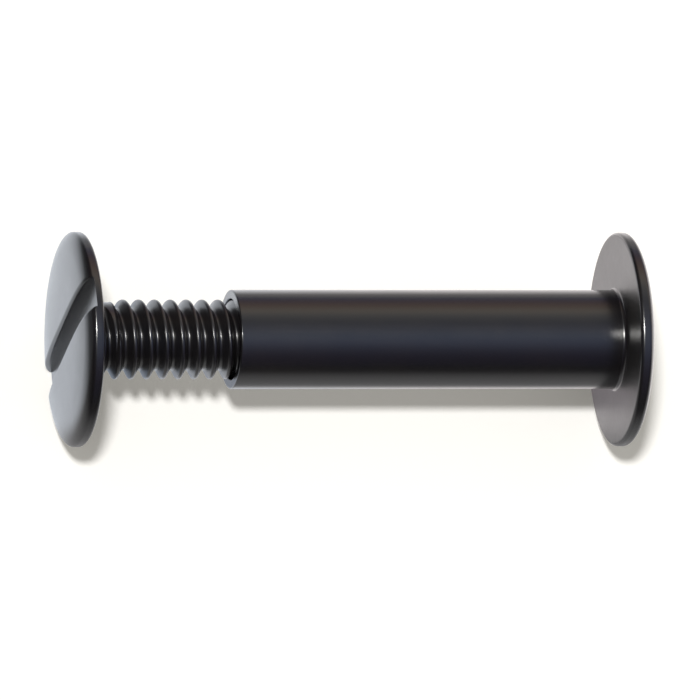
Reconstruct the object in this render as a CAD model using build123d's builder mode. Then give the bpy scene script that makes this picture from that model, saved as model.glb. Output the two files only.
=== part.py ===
from build123d import *

import os
from math import ceil, pi, radians, tan

# A binding barrel screw: a slotted, low-domed screw, threaded right up to its head, and the barrel nut
# with a matching head that it screws into. Millimetres. It lies on the rims of its two heads: X runs
# along the common axis, from the screw's head to the barrel's head, Z is up, and the origin is on the
# ground below the middle of the overall length.

# The two matching heads
head_diameter = 16.75
head_side = 1.13  # height of the rim's side, before its edge is chamfered
head_dome = 0.41  # how far the dome rises above that side
head_edge_chamfer = 0.62  # at 45 degrees, between the side and the dome
head_under_chamfer = 0.1  # at 45 degrees, between the side and the bearing face

# The screw's thread: 1/4-20, an inch thread with 20 turns in 25.4 mm, a V groove with a sharp root
thread_diameter = 6.22
thread_pitch = 1.27
thread_flank = 30.0  # degrees that a flank leans from square to the axis
thread_crest = 0.16  # flat width of the crest
thread_start = 1.6  # bearing face to the first full groove, at the top of the shank

# The rest of the screw
shank_length = 15.875
shank_chamfer = 0.7  # at 45 degrees, at the tip
neck_diameter = 5.8  # where the crests aren't full yet, below the head
neck_length = 2.2
slot_width = 2.5
slot_depth = 0.97  # below the top of the dome
slot_chamfer = 0.2  # at 45 degrees, along both lips of the slot
slot_lean = -1.5  # degrees that the slot leans from upright, as the screw lies

# The barrel nut
barrel_diameter = 7.75
barrel_length = 31.0  # bearing face to end
barrel_root_chamfer = 0.4  # at 45 degrees, between the barrel and the bearing face
barrel_end_chamfer = 0.25  # at 45 degrees
bore_clearance = 0.06  # between the thread's crests and the bore, on the radius
bore_depth = 20.0  # to where the drill's point begins
bore_point = 59.0  # degrees, half of the drill's point angle
bore_flare = 0.25  # countersink at the mouth, at 45 degrees

# At rest the screw is part of the way in
exposed_length = 11.9  # the screw's bearing face to the barrel's end

# How far cutting tools reach past the faces that they enter
tool_overrun = 0.08

# Radii
head_radius = head_diameter / 2
thread_radius = thread_diameter / 2
neck_radius = neck_diameter / 2
barrel_radius = barrel_diameter / 2
bore_radius = thread_radius + bore_clearance

# Places along the axis
head_height = head_side + head_dome
overall_length = head_height + exposed_length + barrel_length + head_height
screw_top_x = -overall_length / 2
screw_side_x = screw_top_x + head_dome
screw_face_x = screw_top_x + head_height
screw_tip_x = screw_face_x + shank_length
barrel_end_x = screw_face_x + exposed_length
barrel_face_x = barrel_end_x + barrel_length
barrel_side_x = barrel_face_x + head_side
barrel_top_x = barrel_face_x + head_height
bore_bottom_x = barrel_end_x + bore_depth
bore_point_x = bore_bottom_x + bore_radius / tan(radians(bore_point))

# Both pieces are turned about one axis, from half sections in a plane that stands on it: there x runs
# along the axis and y is the radius.
axis_height = head_radius
turning_axis = Axis((0, 0, axis_height), (1, 0, 0))
section_plane = Plane(origin=(0, 0, axis_height), x_dir=(1, 0, 0), z_dir=(0, -1, 0))
slot_plane = Plane(origin=(screw_top_x, 0, axis_height), x_dir=(0, 1, 0), z_dir=(1, 0, 0))


def corner_at(section, x, radius):
    """The corner of a half section that lies at x along the axis and at a radius."""
    return section.vertices().sort_by_distance((x, radius, 0))[0]


# The cutter for the thread: one turn of the groove, which is repeated along the shank until it has passed
# the tip. Towards the head the cutter leaves the shank in a straight line, as a tool that is drawn off.
groove_start_x = screw_face_x + thread_start
groove_widening = tan(radians(thread_flank))
groove_depth = (thread_pitch - thread_crest) / 2 / groove_widening
groove_lip = (groove_depth + tool_overrun) * groove_widening
groove_turns = ceil((shank_length - thread_start + groove_lip) / thread_pitch)
root_radius = thread_radius - groove_depth
with BuildPart() as thread_groove:
    with BuildLine() as groove_path:
        Helix(
            pitch=thread_pitch,
            height=thread_pitch,
            radius=thread_radius,
            center=(groove_start_x, 0, axis_height),
            direction=(1, 0, 0),
        )
    with BuildSketch(section_plane) as groove_section:
        with BuildLine():
            Polyline(
                (groove_start_x - groove_lip, thread_radius + tool_overrun),
                (groove_start_x, root_radius),
                (groove_start_x + groove_lip, thread_radius + tool_overrun),
                close=True,
            )
        make_face()
    sweep(groove_section.sketch, path=groove_path.line, is_frenet=True)
with BuildPart() as thread_runout:
    extrude(groove_section.sketch, amount=thread_radius, dir=(-thread_pitch / (2 * pi), thread_radius, 0))

# The screw is turned as a blank, domed head and plain shank, and then slotted and threaded
with BuildPart() as slotted_screw:
    with BuildSketch(section_plane) as screw_section:
        with BuildLine():
            TangentArc((screw_top_x, 0), (screw_side_x, head_radius), tangent=(0, 1))
            Polyline(
                (screw_side_x, head_radius),
                (screw_face_x, head_radius),
                (screw_face_x, neck_radius),
                (screw_face_x + neck_length, neck_radius),
                (screw_face_x + neck_length + thread_radius - neck_radius, thread_radius),
                (screw_tip_x - shank_chamfer, thread_radius),
                (screw_tip_x, thread_radius - shank_chamfer),
                (screw_tip_x, 0),
                (screw_top_x, 0),
            )
        make_face()
        chamfer(corner_at(screw_section, screw_side_x, head_radius), head_edge_chamfer)
        chamfer(corner_at(screw_section, screw_face_x, head_radius), head_under_chamfer)
    revolve(axis=turning_axis)

    # The slot is sawn right across the head, and its lips are eased
    with BuildSketch(slot_plane):
        Rectangle(slot_width, head_diameter + 2 * tool_overrun, rotation=slot_lean)
    extrude(amount=slot_depth, mode=Mode.SUBTRACT)
    slot_floor = slotted_screw.faces(Select.LAST).filter_by(Axis.X).sort_by(Axis.X)[-1]
    slot_walls = slotted_screw.faces(Select.LAST).filter_by(GeomType.PLANE) - [slot_floor]
    lips = [e for wall in slot_walls for e in wall.edges() if e not in slot_floor.edges()]
    chamfer(lips, slot_chamfer)
    with Locations(*[(turn * thread_pitch, 0, 0) for turn in range(groove_turns)]):
        add(thread_groove.part, mode=Mode.SUBTRACT)
    add(thread_runout.part, mode=Mode.SUBTRACT)
slotted_screw.part.label = "slotted_screw"

# The barrel nut is turned with its head, and drilled blind from its other end
with BuildPart() as barrel_nut:
    with BuildSketch(section_plane) as barrel_section:
        with BuildLine():
            TangentArc((barrel_top_x, 0), (barrel_side_x, head_radius), tangent=(0, 1))
            Polyline(
                (barrel_side_x, head_radius),
                (barrel_face_x, head_radius),
                (barrel_face_x, barrel_radius),
                (barrel_end_x, barrel_radius),
                (barrel_end_x, bore_radius + bore_flare),
                (barrel_end_x + bore_flare, bore_radius),
                (bore_bottom_x, bore_radius),
                (bore_point_x, 0),
                (barrel_top_x, 0),
            )
        make_face()
        chamfer(corner_at(barrel_section, barrel_side_x, head_radius), head_edge_chamfer)
        chamfer(corner_at(barrel_section, barrel_face_x, head_radius), head_under_chamfer)
        chamfer(corner_at(barrel_section, barrel_face_x, barrel_radius), barrel_root_chamfer)
        chamfer(corner_at(barrel_section, barrel_end_x, barrel_radius), barrel_end_chamfer)
    revolve(axis=turning_axis)
barrel_nut.part.label = "barrel_nut"

os.makedirs("parts", exist_ok=True)
for piece in (slotted_screw.part, barrel_nut.part):
    export_step(piece, f"parts/{piece.label}.step")
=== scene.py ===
# %% [markdown]
# # A binding barrel screw in black oxide steel
#
# Two turned steel pieces lie on a white ground: a slotted screw, threaded right up to its head, and the
# barrel nut that it screws into. They are small, dark and glossy, so the picture is made almost only of
# reflections. This lesson builds both pieces again as smooth meshes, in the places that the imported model
# gives, and then their finish, the ground, the light and the camera.

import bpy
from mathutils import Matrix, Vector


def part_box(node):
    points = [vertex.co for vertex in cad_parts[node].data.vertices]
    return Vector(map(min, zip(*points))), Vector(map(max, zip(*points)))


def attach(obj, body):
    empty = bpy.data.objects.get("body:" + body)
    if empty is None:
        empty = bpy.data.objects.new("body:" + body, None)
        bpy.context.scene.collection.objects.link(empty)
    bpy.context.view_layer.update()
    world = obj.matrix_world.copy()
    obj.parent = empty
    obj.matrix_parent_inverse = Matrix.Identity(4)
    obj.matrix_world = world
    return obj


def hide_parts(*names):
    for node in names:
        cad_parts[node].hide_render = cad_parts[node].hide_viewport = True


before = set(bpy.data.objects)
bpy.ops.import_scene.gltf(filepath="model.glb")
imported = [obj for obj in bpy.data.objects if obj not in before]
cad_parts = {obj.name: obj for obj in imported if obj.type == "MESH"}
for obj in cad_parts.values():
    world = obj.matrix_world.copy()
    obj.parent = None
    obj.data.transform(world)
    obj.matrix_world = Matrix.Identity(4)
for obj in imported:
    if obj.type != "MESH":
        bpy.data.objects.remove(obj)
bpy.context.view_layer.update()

# %% Other modules
import math

import bmesh
import bpy
from mathutils import Matrix, Vector

# %% [markdown]
# ## Sizes and places
#
# The frame says where each piece is, and the two pieces share one axis, so most places are worked out from
# the frame and a few driving sizes. Those are the sizes that the solids were made with, apart from small
# forms that are finer here. The solids stay light with plain chamfers, an evenly curved dome and a thread
# with sharp roots. Here the edges are round, the dome is flatter in its middle, and the thread's crests and
# roots are round.

# %% Driving sizes, in metres
mm = 0.001
head_radius = 16.75 / 2 * mm
head_side = 1.13 * mm
head_dome = 0.41 * mm
head_dome_power = 4
head_edge_reach = 2.2 * mm
head_edge_drop = 0.75 * mm
head_under_round = 0.3 * mm
thread_radius = 6.22 / 2 * mm
thread_pitch = 1.27 * mm
thread_flank = math.radians(30.0)
thread_start = 1.6 * mm
shank_length = 15.875 * mm
shank_chamfer = 0.7 * mm
neck_radius = 5.8 / 2 * mm
neck_length = 2.2 * mm
slot_width = 2.5 * mm
slot_depth = 0.97 * mm
slot_lip_round = 0.25 * mm
slot_lean = math.radians(-1.5)
barrel_radius = 7.75 / 2 * mm
barrel_length = 31.0 * mm
barrel_root_round = 0.3 * mm
barrel_end_round = 0.12 * mm
bore_radius = thread_radius + 0.06 * mm
bore_depth = 20.0 * mm
bore_flare = 0.06 * mm
bore_point = math.radians(59.0)

# %% Places, from the frame
barrel_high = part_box("barrel_nut")[1]
screw_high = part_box("slotted_screw")[1]
axis_height = head_radius
head_height = head_side + head_dome
barrel_face_x = barrel_high.x - head_height
barrel_end_x = barrel_face_x - barrel_length
screw_tip_x = screw_high.x
screw_face_x = screw_tip_x - shank_length
screw_top_x = screw_face_x - head_height
axis_point = Vector((0, 0, axis_height))
along = Vector((1, 0, 0))
print("barrel face at", round(barrel_face_x / mm, 3), "screw face at", round(screw_face_x / mm, 3), "mm")

# %% [markdown]
# ## Turned pieces
#
# A lathe makes a piece from its half section, and so does Blender's spin. The section could be a list of
# points, but rounds are then hard to read and to change. Here a pen draws it: one vertex is extruded along
# straight stretches and spun through the rounds. A straight stretch gets a second vertex close to each end,
# so that smooth shading bends only in the rounds and the flats stay flat.


# %% A pen for half sections
flat_hold = 0.03 * mm


class Pen:
    """Draws a half section: x lies along the axis and radius is the distance from it."""

    def __init__(self, x, radius):
        self.bm = bmesh.new()
        self.tip = bmesh.ops.create_vert(self.bm, co=self.point(x, radius))["vert"][0]

    def point(self, x, radius):
        return Vector((x, 0, axis_height + radius))

    def step(self, target):
        grown = bmesh.ops.extrude_vert_indiv(self.bm, verts=[self.tip])
        self.tip = grown["verts"][0]
        bmesh.ops.translate(self.bm, verts=[self.tip], vec=target - self.tip.co)

    def line(self, x, radius, hold=flat_hold):
        start, end = self.tip.co.copy(), self.point(x, radius)
        reach = (end - start).length
        if reach > 3 * hold:
            self.step(start.lerp(end, hold / reach))
            self.step(end.lerp(start, hold / reach))
        self.step(end)

    def arc(self, centre_x, centre_radius, angle, steps):
        """Turns about a centre; a positive angle turns from the radius towards x."""
        turned = bmesh.ops.spin(
            self.bm, geom=[self.tip], cent=self.point(centre_x, centre_radius), axis=(0, 1, 0),
            dvec=(0, 0, 0), angle=angle, steps=steps, use_merge=False, use_normal_flip=False,
            use_duplicate=False,
        )
        self.tip = [v for v in turned["geom_last"] if isinstance(v, bmesh.types.BMVert)][0]


# %% A lathe and a way to finish pieces
lathe_steps = 256
pole_merge = 0.0005 * mm
sharp_angle = math.radians(40)


def turn(pen):
    """Spins a finished half section all the way round and closes its poles and its seam."""
    bm = pen.bm
    bmesh.ops.spin(
        bm, geom=bm.verts[:] + bm.edges[:], cent=axis_point, axis=along, dvec=(0, 0, 0),
        angle=2 * math.pi, steps=lathe_steps, use_merge=True, use_normal_flip=False, use_duplicate=False,
    )
    bmesh.ops.remove_doubles(bm, verts=bm.verts, dist=pole_merge)
    bmesh.ops.recalc_face_normals(bm, faces=bm.faces)
    return bm


def finish_piece(name, parts, body, node):
    """Joins bmeshes into one smooth object that stands for a node of the frame."""
    mesh = bpy.data.meshes.new(name)
    joined = bmesh.new()
    for part in parts:
        part.to_mesh(mesh)
        joined.from_mesh(mesh)
        part.free()
    joined.to_mesh(mesh)
    joined.free()
    mesh.shade_smooth()
    mesh.set_sharp_from_angle(angle=sharp_angle)
    piece = bpy.data.objects.new(name, mesh)
    bpy.context.scene.collection.objects.link(piece)
    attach(piece, body)
    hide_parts(node)
    triangles = sum(len(face.vertices) - 2 for face in mesh.polygons)
    print(name, "has", triangles, "triangles")
    return piece


# %% [markdown]
# ## The heads
#
# Both heads have one profile: a low dome, an edge that the header's die leaves round, a short straight side
# and a barely broken edge at the flat bearing face. The dome is nearly flat in the middle and falls with the
# fourth power of the radius. The round edge is a quarter of an ellipse, wide along the radius and short along
# the axis. Where it leaves the dome both have the same slope, which is found in a few passes.

# %% Draw a head's profile
edge_steps = 24
dome_steps = 24
under_round_steps = 6
slope_passes = 20


def dome_height(radius):
    """Height above the bearing face of the dome at a radius."""
    return head_height - head_dome * (radius / head_radius) ** head_dome_power


edge_start = 0.0
for _ in range(slope_passes):
    dome_end = head_radius - head_edge_reach * (1 - math.sin(edge_start))
    dome_slope = head_dome_power * head_dome / head_radius * (dome_end / head_radius) ** (head_dome_power - 1)
    edge_start = math.atan(head_edge_reach / head_edge_drop * dome_slope)
edge_base = dome_height(dome_end) - head_edge_drop * math.cos(edge_start)


def draw_head(face_x, outward):
    """A pen that has drawn a head from its top to the edge of its bearing face; outward is 1 or -1."""
    pen = Pen(face_x + outward * head_height, 0)
    for step in range(1, dome_steps + 1):
        radius = dome_end * step / dome_steps
        pen.step(pen.point(face_x + outward * dome_height(radius), radius))
    for step in range(1, edge_steps + 1):
        swing = edge_start + (math.pi / 2 - edge_start) * step / edge_steps
        pen.step(pen.point(face_x + outward * (edge_base + head_edge_drop * math.cos(swing)),
                           head_radius - head_edge_reach * (1 - math.sin(swing))))
    pen.line(face_x + outward * head_under_round, head_radius)
    pen.arc(face_x + outward * head_under_round, head_radius - head_under_round, -outward * math.pi / 2,
            under_round_steps)
    return pen


print("the dome ends at", round(dome_end / mm, 2), "mm, the side at", round(edge_base / mm, 2), "mm")

# %% [markdown]
# ## The barrel nut
#
# Head, barrel and bore are one section, so the piece is one turn of the lathe. The barrel meets the head in
# a small round, its open end is rounded outside and countersunk inside, and the bore ends in the cone that
# a drill leaves.

# %% Turn the barrel nut
barrel_round_steps = 10
pen = draw_head(barrel_face_x, 1)
pen.line(barrel_face_x, barrel_radius + barrel_root_round)
pen.arc(barrel_face_x - barrel_root_round, barrel_radius + barrel_root_round, math.pi / 2,
        barrel_round_steps)
pen.line(barrel_end_x + barrel_end_round, barrel_radius)
pen.arc(barrel_end_x + barrel_end_round, barrel_radius - barrel_end_round, -math.pi / 2,
        barrel_round_steps)
pen.line(barrel_end_x, bore_radius + bore_flare)
pen.line(barrel_end_x + bore_flare, bore_radius)
pen.line(barrel_end_x + bore_depth, bore_radius)
pen.line(barrel_end_x + bore_depth + bore_radius / math.tan(bore_point), 0)
barrel = finish_piece("barrel_nut_smooth", [turn(pen)], "barrel", "barrel_nut")

# %% [markdown]
# ## The slotted head
#
# The head is turned whole and then slotted. A boolean would leave sharp lips that no bevel follows well
# over a dome. Instead the turned mesh is cut along planes beside the slot, the strip between them is
# deleted, and the vertices between the outer planes sink along a quarter circle: those are the rounded
# lips. The open edge is then extruded straight down to the slot's floor, and the floor is filled.
#
# Only vertices at the slot are merged at the end. Round the middle of the bearing face they lie so close
# together that a merge of the whole head would join some of them, and not the same ones in every run.

# %% Turn the head
pen = draw_head(screw_face_x, -1)
pen.line(screw_face_x, 0)
head = turn(pen)

# %% Slot the head
slot_floor_x = screw_top_x + slot_depth
across = Vector((0, math.cos(slot_lean), math.sin(slot_lean)))
lip_cuts = 9
cut_margin = 0.2 * mm
wall_hold = 0.05 * mm
tiny = 0.001 * mm


def offset(vert):
    """How far a vertex lies from the middle plane of the slot."""
    return (vert.co - axis_point).dot(across)


def cut(bm, point, normal):
    """Cuts the head's outer part along a plane."""
    faces = [f for f in bm.faces if f.calc_center_median().x < slot_floor_x + cut_margin]
    edges = list(dict.fromkeys(e for f in faces for e in f.edges))
    verts = list(dict.fromkeys(v for f in faces for v in f.verts))
    bmesh.ops.bisect_plane(bm, geom=verts + edges + faces, dist=tiny / 4, plane_co=point, plane_no=normal)


cut(head, Vector((slot_floor_x, 0, 0)), along)
for side in (-1, 1):
    for step in range(lip_cuts + 1):
        swing = math.pi / 2 * step / lip_cuts
        reach = slot_width / 2 + slot_lip_round * (1 - math.cos(swing))
        cut(head, axis_point + across * side * reach, across)
strip = [f for f in head.faces
         if f.calc_center_median().x < slot_floor_x - tiny / 4
         and all(abs(offset(v)) < slot_width / 2 + tiny for v in f.verts)]
bmesh.ops.delete(head, geom=strip, context="FACES")

# %% Round the lips and make the slot's walls and floor
for vert in head.verts:
    into_lip = slot_width / 2 + slot_lip_round - abs(offset(vert))
    if vert.co.x < slot_floor_x - tiny and into_lip > 0:
        into_lip = min(into_lip, slot_lip_round)
        sink = slot_lip_round - math.sqrt(slot_lip_round**2 - into_lip**2)
        vert.co.x += sink * min(1, (slot_floor_x - vert.co.x) / (2 * slot_lip_round))


def slot_rim(bm):
    """The open edges that run down from the lips, without those that lie on the floor's level."""
    return [e for e in bm.edges if e.is_boundary and any(v.co.x < slot_floor_x - tiny for v in e.verts)]


for drop in (wall_hold, None):
    walls = bmesh.ops.extrude_edge_only(head, edges=slot_rim(head))
    lowered = [v for v in walls["geom"] if isinstance(v, bmesh.types.BMVert)]
    if drop:
        for vert in lowered:
            vert.co.x = min(vert.co.x + drop, slot_floor_x)
    else:
        level = Matrix.Translation((-slot_floor_x, 0, 0))
        bmesh.ops.scale(head, vec=(0, 1, 1), space=level, verts=lowered)
slot_verts = [v for v in head.verts if v.co.x < slot_floor_x + tiny]
bmesh.ops.remove_doubles(head, verts=slot_verts, dist=tiny)
bmesh.ops.dissolve_degenerate(head, dist=tiny / 2, edges=head.edges)
bmesh.ops.holes_fill(head, edges=[e for e in head.edges if e.is_boundary], sides=0)
bmesh.ops.recalc_face_normals(head, faces=head.faces)
print("slotted head", len(head.faces), "faces, open edges", sum(e.is_boundary for e in head.edges))

# %% [markdown]
# ## The thread
#
# A thread is a short section that is turned and moved along at the same time. Blender's spin does that when
# it is also given a shift for each step. One pitch of the profile, from crest to crest, is spun through one
# turn. That turn is repeated along the shank, a pitch apart, because a spin of thousands of steps is slow,
# and merging doubles makes one skin of all the turns. It is cut square at both ends. Then each vertex is
# brought in to the outline that the shank has there: a thinner neck below the head, and a chamfer at the tip.
# Before its first full turn, the groove leaves the shank in a straight line.

# %% Draw one pitch of the thread
crest_round = 0.2 * mm
root_round = 0.2 * mm
crest_steps = 5
root_steps = 8
flank_cuts = 6
turns_before = 2.5
flank_turn = math.pi / 2 - thread_flank
flank_run = thread_pitch / 2 - (crest_round + root_round) * math.cos(thread_flank)
flank_fall = flank_run / math.tan(thread_flank)
root_level = thread_radius - crest_round + (crest_round + root_round) * math.sin(thread_flank) - flank_fall
groove_depth = thread_radius - root_level + root_round
first_crest_x = screw_face_x + thread_start - turns_before * thread_pitch
root_x = first_crest_x + thread_pitch / 2
pen = Pen(first_crest_x, thread_radius)
pen.arc(first_crest_x, thread_radius - crest_round, flank_turn, crest_steps)
flank_top = pen.tip.co.copy()
flank_foot = pen.point(root_x - root_round * math.cos(thread_flank),
                       root_level - root_round * math.sin(thread_flank))
for share in range(1, flank_cuts + 1):
    pen.step(flank_top.lerp(flank_foot, share / flank_cuts))
pen.arc(root_x, root_level, -2 * flank_turn, root_steps)
second_top = pen.point(2 * root_x - flank_top.x, flank_top.z - axis_height)
second_foot = pen.tip.co.copy()
for share in range(1, flank_cuts + 1):
    pen.step(second_foot.lerp(second_top, share / flank_cuts))
pen.arc(first_crest_x + thread_pitch, thread_radius - crest_round, flank_turn, crest_steps)
print("groove depth", round(groove_depth / mm, 3), "mm")

# %% Spin one turn, repeat it and cut the thread to length
turn_steps = 120
spare_turns = 4
thread_turns = math.ceil(shank_length / thread_pitch) + spare_turns
thread = pen.bm
bmesh.ops.spin(
    thread, geom=thread.verts[:] + thread.edges[:], cent=axis_point, axis=along,
    dvec=along * thread_pitch / turn_steps, angle=2 * math.pi, steps=turn_steps,
    use_merge=False, use_normal_flip=False, use_duplicate=False,
)
one_turn = thread.verts[:] + thread.edges[:] + thread.faces[:]
for number in range(1, thread_turns):
    copied = bmesh.ops.duplicate(thread, geom=one_turn)
    copied_verts = [v for v in copied["geom"] if isinstance(v, bmesh.types.BMVert)]
    bmesh.ops.translate(thread, verts=copied_verts, vec=along * thread_pitch * number)
bmesh.ops.remove_doubles(thread, verts=thread.verts, dist=tiny)
sunk = 0.05 * mm
for end_x, outside in ((screw_face_x - sunk, -along), (screw_tip_x, along)):
    bmesh.ops.bisect_plane(
        thread, geom=thread.verts[:] + thread.edges[:] + thread.faces[:], dist=tiny / 4,
        plane_co=(end_x, 0, 0), plane_no=outside, clear_outer=True,
    )


# %% Bring the thread to the shank's outline
last_swing = math.pi / 2 - 0.01


def outline(x):
    """The shank's radius at x, before it is threaded."""
    up_from_neck = neck_radius + max(0, x - screw_face_x - neck_length)
    down_to_tip = thread_radius - max(0, x - (screw_tip_x - shank_chamfer))
    return min(thread_radius, up_from_neck, down_to_tip)


for vert in thread.verts:
    spoke = vert.co - axis_point
    spoke.x = 0
    turned = math.atan2(-spoke.y, spoke.z) / (2 * math.pi)
    pitches = (vert.co.x - screw_face_x - thread_start) / thread_pitch
    turns_in = turned + round(pitches - turned)
    radius = spoke.length
    if turns_in < 0:
        swing = min(-turns_in * 2 * math.pi, last_swing)
        radius = radius / math.cos(swing)
    vert.co = Vector((vert.co.x, 0, axis_height)) + spoke.normalized() * min(radius, outline(vert.co.x))
bmesh.ops.holes_fill(thread, edges=[e for e in thread.edges if e.is_boundary], sides=0)
bmesh.ops.recalc_face_normals(thread, faces=thread.faces)
print("thread", len(thread.faces), "faces, open edges", sum(e.is_boundary for e in thread.edges))
screw = finish_piece("slotted_screw_smooth", [head, thread], "screw", "slotted_screw")

# %% [markdown]
# ## Shader maths as plain expressions
#
# Node trees are hard to read as code, so a small class wraps a socket and lets the usual operators add the
# nodes.


# %% A socket that can be reckoned with
class Value:
    """One output socket in a material's node tree."""

    def __init__(self, tree, socket):
        self.tree = tree
        self.socket = socket

    def node(self, kind, inputs=None, output=0, **settings):
        """Adds a node, with its settings and the values or links of its sockets."""
        made = self.tree.nodes.new(kind)
        for key, value in settings.items():
            setattr(made, key, value)
        for key, value in (inputs or {}).items():
            socket = made.inputs[key]
            if kind == "ShaderNodeMix" and key in ("A", "B"):
                socket = [i for i in made.inputs if i.enabled and i.name == key][0]
            if isinstance(value, Value):
                self.tree.links.new(value.socket, socket)
            else:
                socket.default_value = value
        return Value(self.tree, made.outputs[output])

    def maths(self, operation, *values):
        return self.node("ShaderNodeMath", dict(enumerate(values)), operation=operation)

    def __add__(self, other):
        return self.maths("ADD", self, other)

    def __sub__(self, other):
        return self.maths("SUBTRACT", self, other)

    def __rsub__(self, other):
        return self.maths("SUBTRACT", other, self)

    def __mul__(self, other):
        return self.maths("MULTIPLY", self, other)

    __radd__ = __add__
    __rmul__ = __mul__


# %% [markdown]
# ## The finish
#
# Black oxide is a thin dark layer on steel that is sealed with oil or wax, so it shines like lacquer and
# not like bare metal: nearly black underneath, with a clear reflection that grows towards grazing angles.
# It isn't even. The layer has faint blue and brown patches, the bar's drawing lines still show along it,
# and the oil lies a little thicker here and there, which changes the roughness.


# %% Black oxide steel
polish = 0.17
patch_roughness = 0.08
grain_roughness = 0.06
face_dullness = 0.15
thread_dullness = 0.06
face_tolerance = 0.03 * mm


def black_oxide(name, grain_stretch, dullness):
    """A material for one piece; grain_stretch squeezes the grain, dullness gives extra roughness from x."""
    material = bpy.data.materials.new(name)
    material.use_nodes = True
    tree = material.node_tree
    shader = tree.nodes["Principled BSDF"]
    place = Value(tree, tree.nodes.new("ShaderNodeTexCoord").outputs["Object"])
    patches = place.node("ShaderNodeTexNoise", {"Vector": place, "Scale": 260.0, "Detail": 3.0,
                                                "Roughness": 0.6})
    stretched = place.node("ShaderNodeMapping", {"Vector": place, "Scale": grain_stretch})
    grain = place.node("ShaderNodeTexNoise", {"Vector": stretched, "Scale": 2600.0, "Detail": 3.0,
                                              "Roughness": 0.6})
    tint = place.node("ShaderNodeMix", {"Factor": patches, "A": (0.004, 0.0045, 0.007, 1),
                                        "B": (0.008, 0.006, 0.0055, 1)}, output=2, data_type="RGBA")
    tree.links.new(tint.socket, shader.inputs["Base Color"])
    along_x = place.node("ShaderNodeSeparateXYZ", {"Vector": place}, output="X")
    roughness = polish + patches * patch_roughness + grain * grain_roughness + dullness(along_x)
    tree.links.new(roughness.socket, shader.inputs["Roughness"])
    relief = place.node("ShaderNodeBump", {"Height": grain, "Strength": 0.05, "Distance": 0.02 * mm})
    tree.links.new(relief.socket, shader.inputs["Normal"])
    shader.inputs["IOR"].default_value = 1.8
    return material


def dull_face(x):
    """The barrel head's bearing face was never polished."""
    return x.maths("COMPARE", x, barrel_face_x, face_tolerance) * face_dullness


def dull_thread(x):
    """The thread and the bearing face above it came from the rolling dies."""
    return x.maths("GREATER_THAN", x, screw_face_x - face_tolerance) * thread_dullness


barrel.data.materials.append(black_oxide("barrel_black_oxide", (0.08, 1.0, 1.0), dull_face))
screw.data.materials.append(black_oxide("screw_black_oxide", (1.0, 0.5, 0.5), dull_thread))
print("finishes", [m.name for piece in (barrel, screw) for m in piece.data.materials])

# %% [markdown]
# ## Ground, light and camera
#
# The set lies on plain white ground. One small lamp high up, a little to the left and towards the camera,
# gives the short soft shadow and the small glints. The rest of the light is an even white surround. Rays from
# the camera see that surround at full white, while it lights the ground only weakly, so that the shadow
# stays.
#
# Glossy steel is only as light as what it mirrors, so reflections see something else than the camera does: a
# dimmer room, paler overhead and dark at the camera's side, and a ground with painted light in its colour and
# glow: a painted pool of light, bright near the pieces and falling off around them as under one lamp, with a
# painted tint and painted dimming towards the camera. That gives the soft bands along the barrel and over the
# heads.

# %% Ground
ground_mesh = bpy.data.meshes.new("ground")
ground_bm = bmesh.new()
bmesh.ops.create_grid(ground_bm, x_segments=1, y_segments=1, size=3.0)
ground_bm.to_mesh(ground_mesh)
ground_bm.free()
ground = bpy.data.objects.new("ground", ground_mesh)
bpy.context.scene.collection.objects.link(ground)
ground_white = bpy.data.materials.new("ground_white")
ground_white.use_nodes = True
ground_shader = ground_white.node_tree.nodes["Principled BSDF"]
ground_shader.inputs["Roughness"].default_value = 1.0
ground_shader.inputs["Specular IOR Level"].default_value = 0.0
ground_tree = ground_white.node_tree
ground_path = ground_tree.nodes.new("ShaderNodeLightPath")
to_camera = Value(ground_tree, ground_path.outputs["Is Camera Ray"])
to_mirror = Value(ground_tree, ground_path.outputs["Is Glossy Ray"])
spot = Value(ground_tree, ground_tree.nodes.new("ShaderNodeTexCoord").outputs["Object"])
along_y = spot.node("ShaderNodeSeparateXYZ", {"Vector": spot}, output="Y")
along_x = spot.node("ShaderNodeSeparateXYZ", {"Vector": spot}, output="X")


def fade(value, start, end, low, high):
    """A smooth rise of a value between two places."""
    return value.node("ShaderNodeMapRange", {"Value": value, "From Min": start, "From Max": end,
                                             "To Min": low, "To Max": high}, interpolation_type="SMOOTHSTEP")


# Painted light: seen only in reflections, the ground's colour is bright near the pieces and falls off around
# them, a painted pool of light as under one lamp. To the camera the ground stays evenly white.
to_the_pieces = fade(along_y, -42 * mm, -8 * mm, 0.05, 0.55) + fade(along_y, -7 * mm, -3 * mm, 0, 0.45)
past_the_screw = fade(along_x, -48 * mm, -24 * mm, 0.12, 1.0)
behind_the_pieces = fade(along_y, 14 * mm, 50 * mm, 1.0, 0.35)
nearness = to_the_pieces * past_the_screw * behind_the_pieces
shade = 1 - to_mirror * (1 - nearness)
paper_with_painted_falloff = spot.node("ShaderNodeMix", {"Factor": shade, "A": (0, 0, 0, 1), "B": (0.9, 0.9, 0.9, 1)},
                  output=2, data_type="RGBA")
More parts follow.
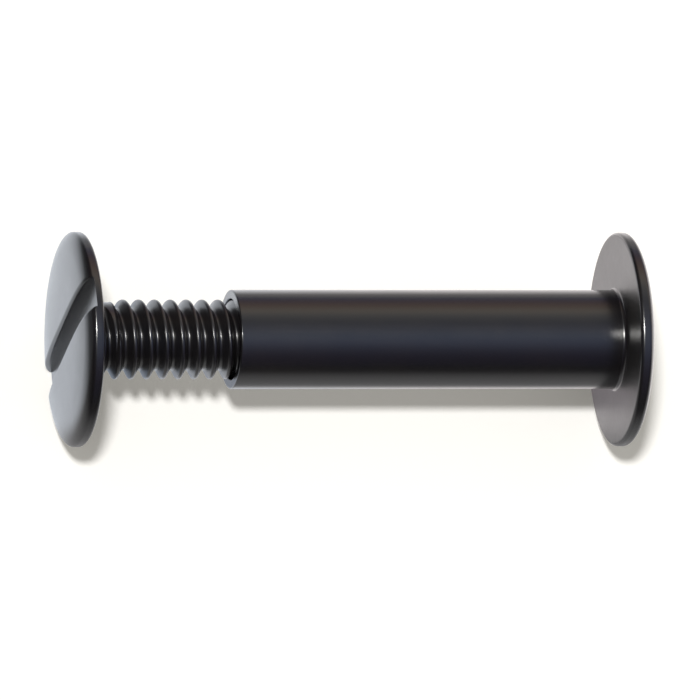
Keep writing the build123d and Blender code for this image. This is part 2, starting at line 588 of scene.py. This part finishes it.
# Painted light: in reflections only, the ground also glows near the pieces, bluish towards the screw and warm
# towards the barrel's head, and dim towards the camera. The camera sees only an even lift that whitens the
# whole ground.
painted_glow_tint = spot.node("ShaderNodeMix", {"Factor": fade(along_x, -22 * mm, 14 * mm, 0, 1),
                                       "A": (0.44, 0.53, 0.68, 1), "B": (0.66, 0.60, 0.64, 1)},
                     output=2, data_type="RGBA")
behind = spot.node("ShaderNodeMix", {"Factor": fade(along_y, -7 * mm, -3 * mm, 0, 1),
                                     "A": (0.02, 0.03, 0.08, 1), "B": painted_glow_tint},
                   output=2, data_type="RGBA")
lift = spot.node("ShaderNodeMix", {"Factor": to_mirror, "A": (0.14, 0.135, 0.12, 1), "B": behind},
                 output=2, data_type="RGBA")
glow = spot.node("ShaderNodeMix", {"Factor": to_camera + to_mirror * nearness, "A": (0, 0, 0, 1), "B": lift},
                 output=2, data_type="RGBA")
ground_tree.links.new(paper_with_painted_falloff.socket, ground_shader.inputs["Base Color"])
ground_tree.links.new(glow.socket, ground_shader.inputs["Emission Color"])
ground_shader.inputs["Emission Strength"].default_value = 1.0
ground_mesh.materials.append(ground_white)

# %% Surround
world = bpy.data.worlds.new("surround")
bpy.context.scene.world = world
world.use_nodes = True
world_tree = world.node_tree
world_tree.nodes.clear()
path = world_tree.nodes.new("ShaderNodeLightPath")
seen = Value(world_tree, path.outputs["Is Camera Ray"])
mirrored = Value(world_tree, path.outputs["Is Glossy Ray"])
direction = Value(world_tree, world_tree.nodes.new("ShaderNodeTexCoord").outputs["Generated"])
sideways = direction.node("ShaderNodeSeparateXYZ", {"Vector": direction}, output="Y")
upwards = direction.node("ShaderNodeSeparateXYZ", {"Vector": direction}, output="Z")
from_zenith = direction.maths("ARCTAN2", sideways, upwards) * (0.5 / math.pi) + 0.5
room = direction.node("ShaderNodeValToRGB", {"Fac": from_zenith})
room_ramp = room.socket.node.color_ramp
room_colours = (
    (-90, (0.050, 0.050, 0.075)), (-66, (0.080, 0.072, 0.13)), (-49, (0.16, 0.17, 0.27)),
    (-33, (0.28, 0.33, 0.52)), (-17, (0.30, 0.38, 0.57)), (0, (0.31, 0.33, 0.43)),
    (16, (0.26, 0.27, 0.31)), (32, (0.50, 0.50, 0.50)), (44, (0.83, 0.74, 0.63)),
    (60, (0.57, 0.41, 0.33)), (75, (0.33, 0.25, 0.30)), (90, (0.22, 0.26, 0.40)),
)
for degrees, colour in room_colours[1:-1]:
    stop = room_ramp.elements.new(degrees / 360 + 0.5)
    stop.color = (*colour, 1)
for stop, (degrees, colour) in ((room_ramp.elements[0], room_colours[0]),
                                (room_ramp.elements[-1], room_colours[-1])):
    stop.position = degrees / 360 + 0.5
    stop.color = (*colour, 1)
fill = seen.node("ShaderNodeBackground", {"Color": (1.0, 0.97, 0.90, 1), "Strength": 0.37})
lengthways = direction.node("ShaderNodeSeparateXYZ", {"Vector": direction}, output="X")
open_side = direction.node("ShaderNodeMapRange", {
    "Value": lengthways, "From Min": -0.4, "From Max": 0.2, "To Min": 0.15, "To Max": 1.0,
}, interpolation_type="SMOOTHSTEP")
reflected = seen.node("ShaderNodeBackground", {"Color": room, "Strength": open_side})
white = seen.node("ShaderNodeBackground", {"Color": (1, 1, 1, 1), "Strength": 1.0})
lit = seen.node("ShaderNodeMixShader", {0: mirrored, 1: fill, 2: reflected})
mixed = seen.node("ShaderNodeMixShader", {0: seen, 1: lit, 2: white})
world_out = world_tree.nodes.new("ShaderNodeOutputWorld")
world_tree.links.new(mixed.socket, world_out.inputs["Surface"])

# %% Lamp
lamp = bpy.data.lights.new("lamp", "SUN")
lamp.energy = 2.5
lamp.angle = math.radians(6.0)
lamp.color = (1.0, 0.985, 0.95)
lamp_object = bpy.data.objects.new("lamp", lamp)
to_lamp = Vector((-0.265, -0.205, 0.942))
lamp_object.rotation_mode = "QUATERNION"
lamp_object.rotation_quaternion = to_lamp.to_track_quat("Z", "Y")
bpy.context.scene.collection.objects.link(lamp_object)

# %% [markdown]
# The camera stands far away and looks steeply down, turned a little past the screw's head. Its place is
# given by the point of the axis that it looks at, and by two angles and a distance from there. The picture
# is taken to be 700 pixels wide, and 12.8 of them are one millimetre at that distance.

# %% Camera
camera_distance = 1.3
camera_elevation = math.radians(65.0)
camera_turn = math.radians(13.97)
pixels_per_metre = 12.8 / mm
picture_pixels = 700
aim_x = barrel_face_x - 21.36 * mm
aim_up = -0.83 * mm
up_in_picture = Vector((0, math.sin(camera_elevation), math.cos(camera_elevation)))
toward_camera = Vector((
    -math.sin(camera_turn),
    -math.cos(camera_turn) * math.cos(camera_elevation),
    math.cos(camera_turn) * math.sin(camera_elevation),
))
to_right = up_in_picture.cross(toward_camera)
aim = Vector((aim_x, 0, axis_height)) + up_in_picture * aim_up
camera_data = bpy.data.cameras.new("camera")
camera_data.sensor_width = 36.0
camera_data.lens = 36.0 * pixels_per_metre * camera_distance / picture_pixels
camera_data.clip_end = 20.0
camera = bpy.data.objects.new("camera", camera_data)
bpy.context.scene.collection.objects.link(camera)
camera.location = aim + toward_camera * camera_distance
camera.rotation_mode = "QUATERNION"
camera.rotation_quaternion = Matrix((to_right, up_in_picture, toward_camera)).transposed().to_quaternion()
bpy.context.scene.camera = camera
print("lens", round(camera_data.lens, 1), "mm")

# %% View settings and the last line
bpy.context.scene.view_settings.view_transform = "Standard"
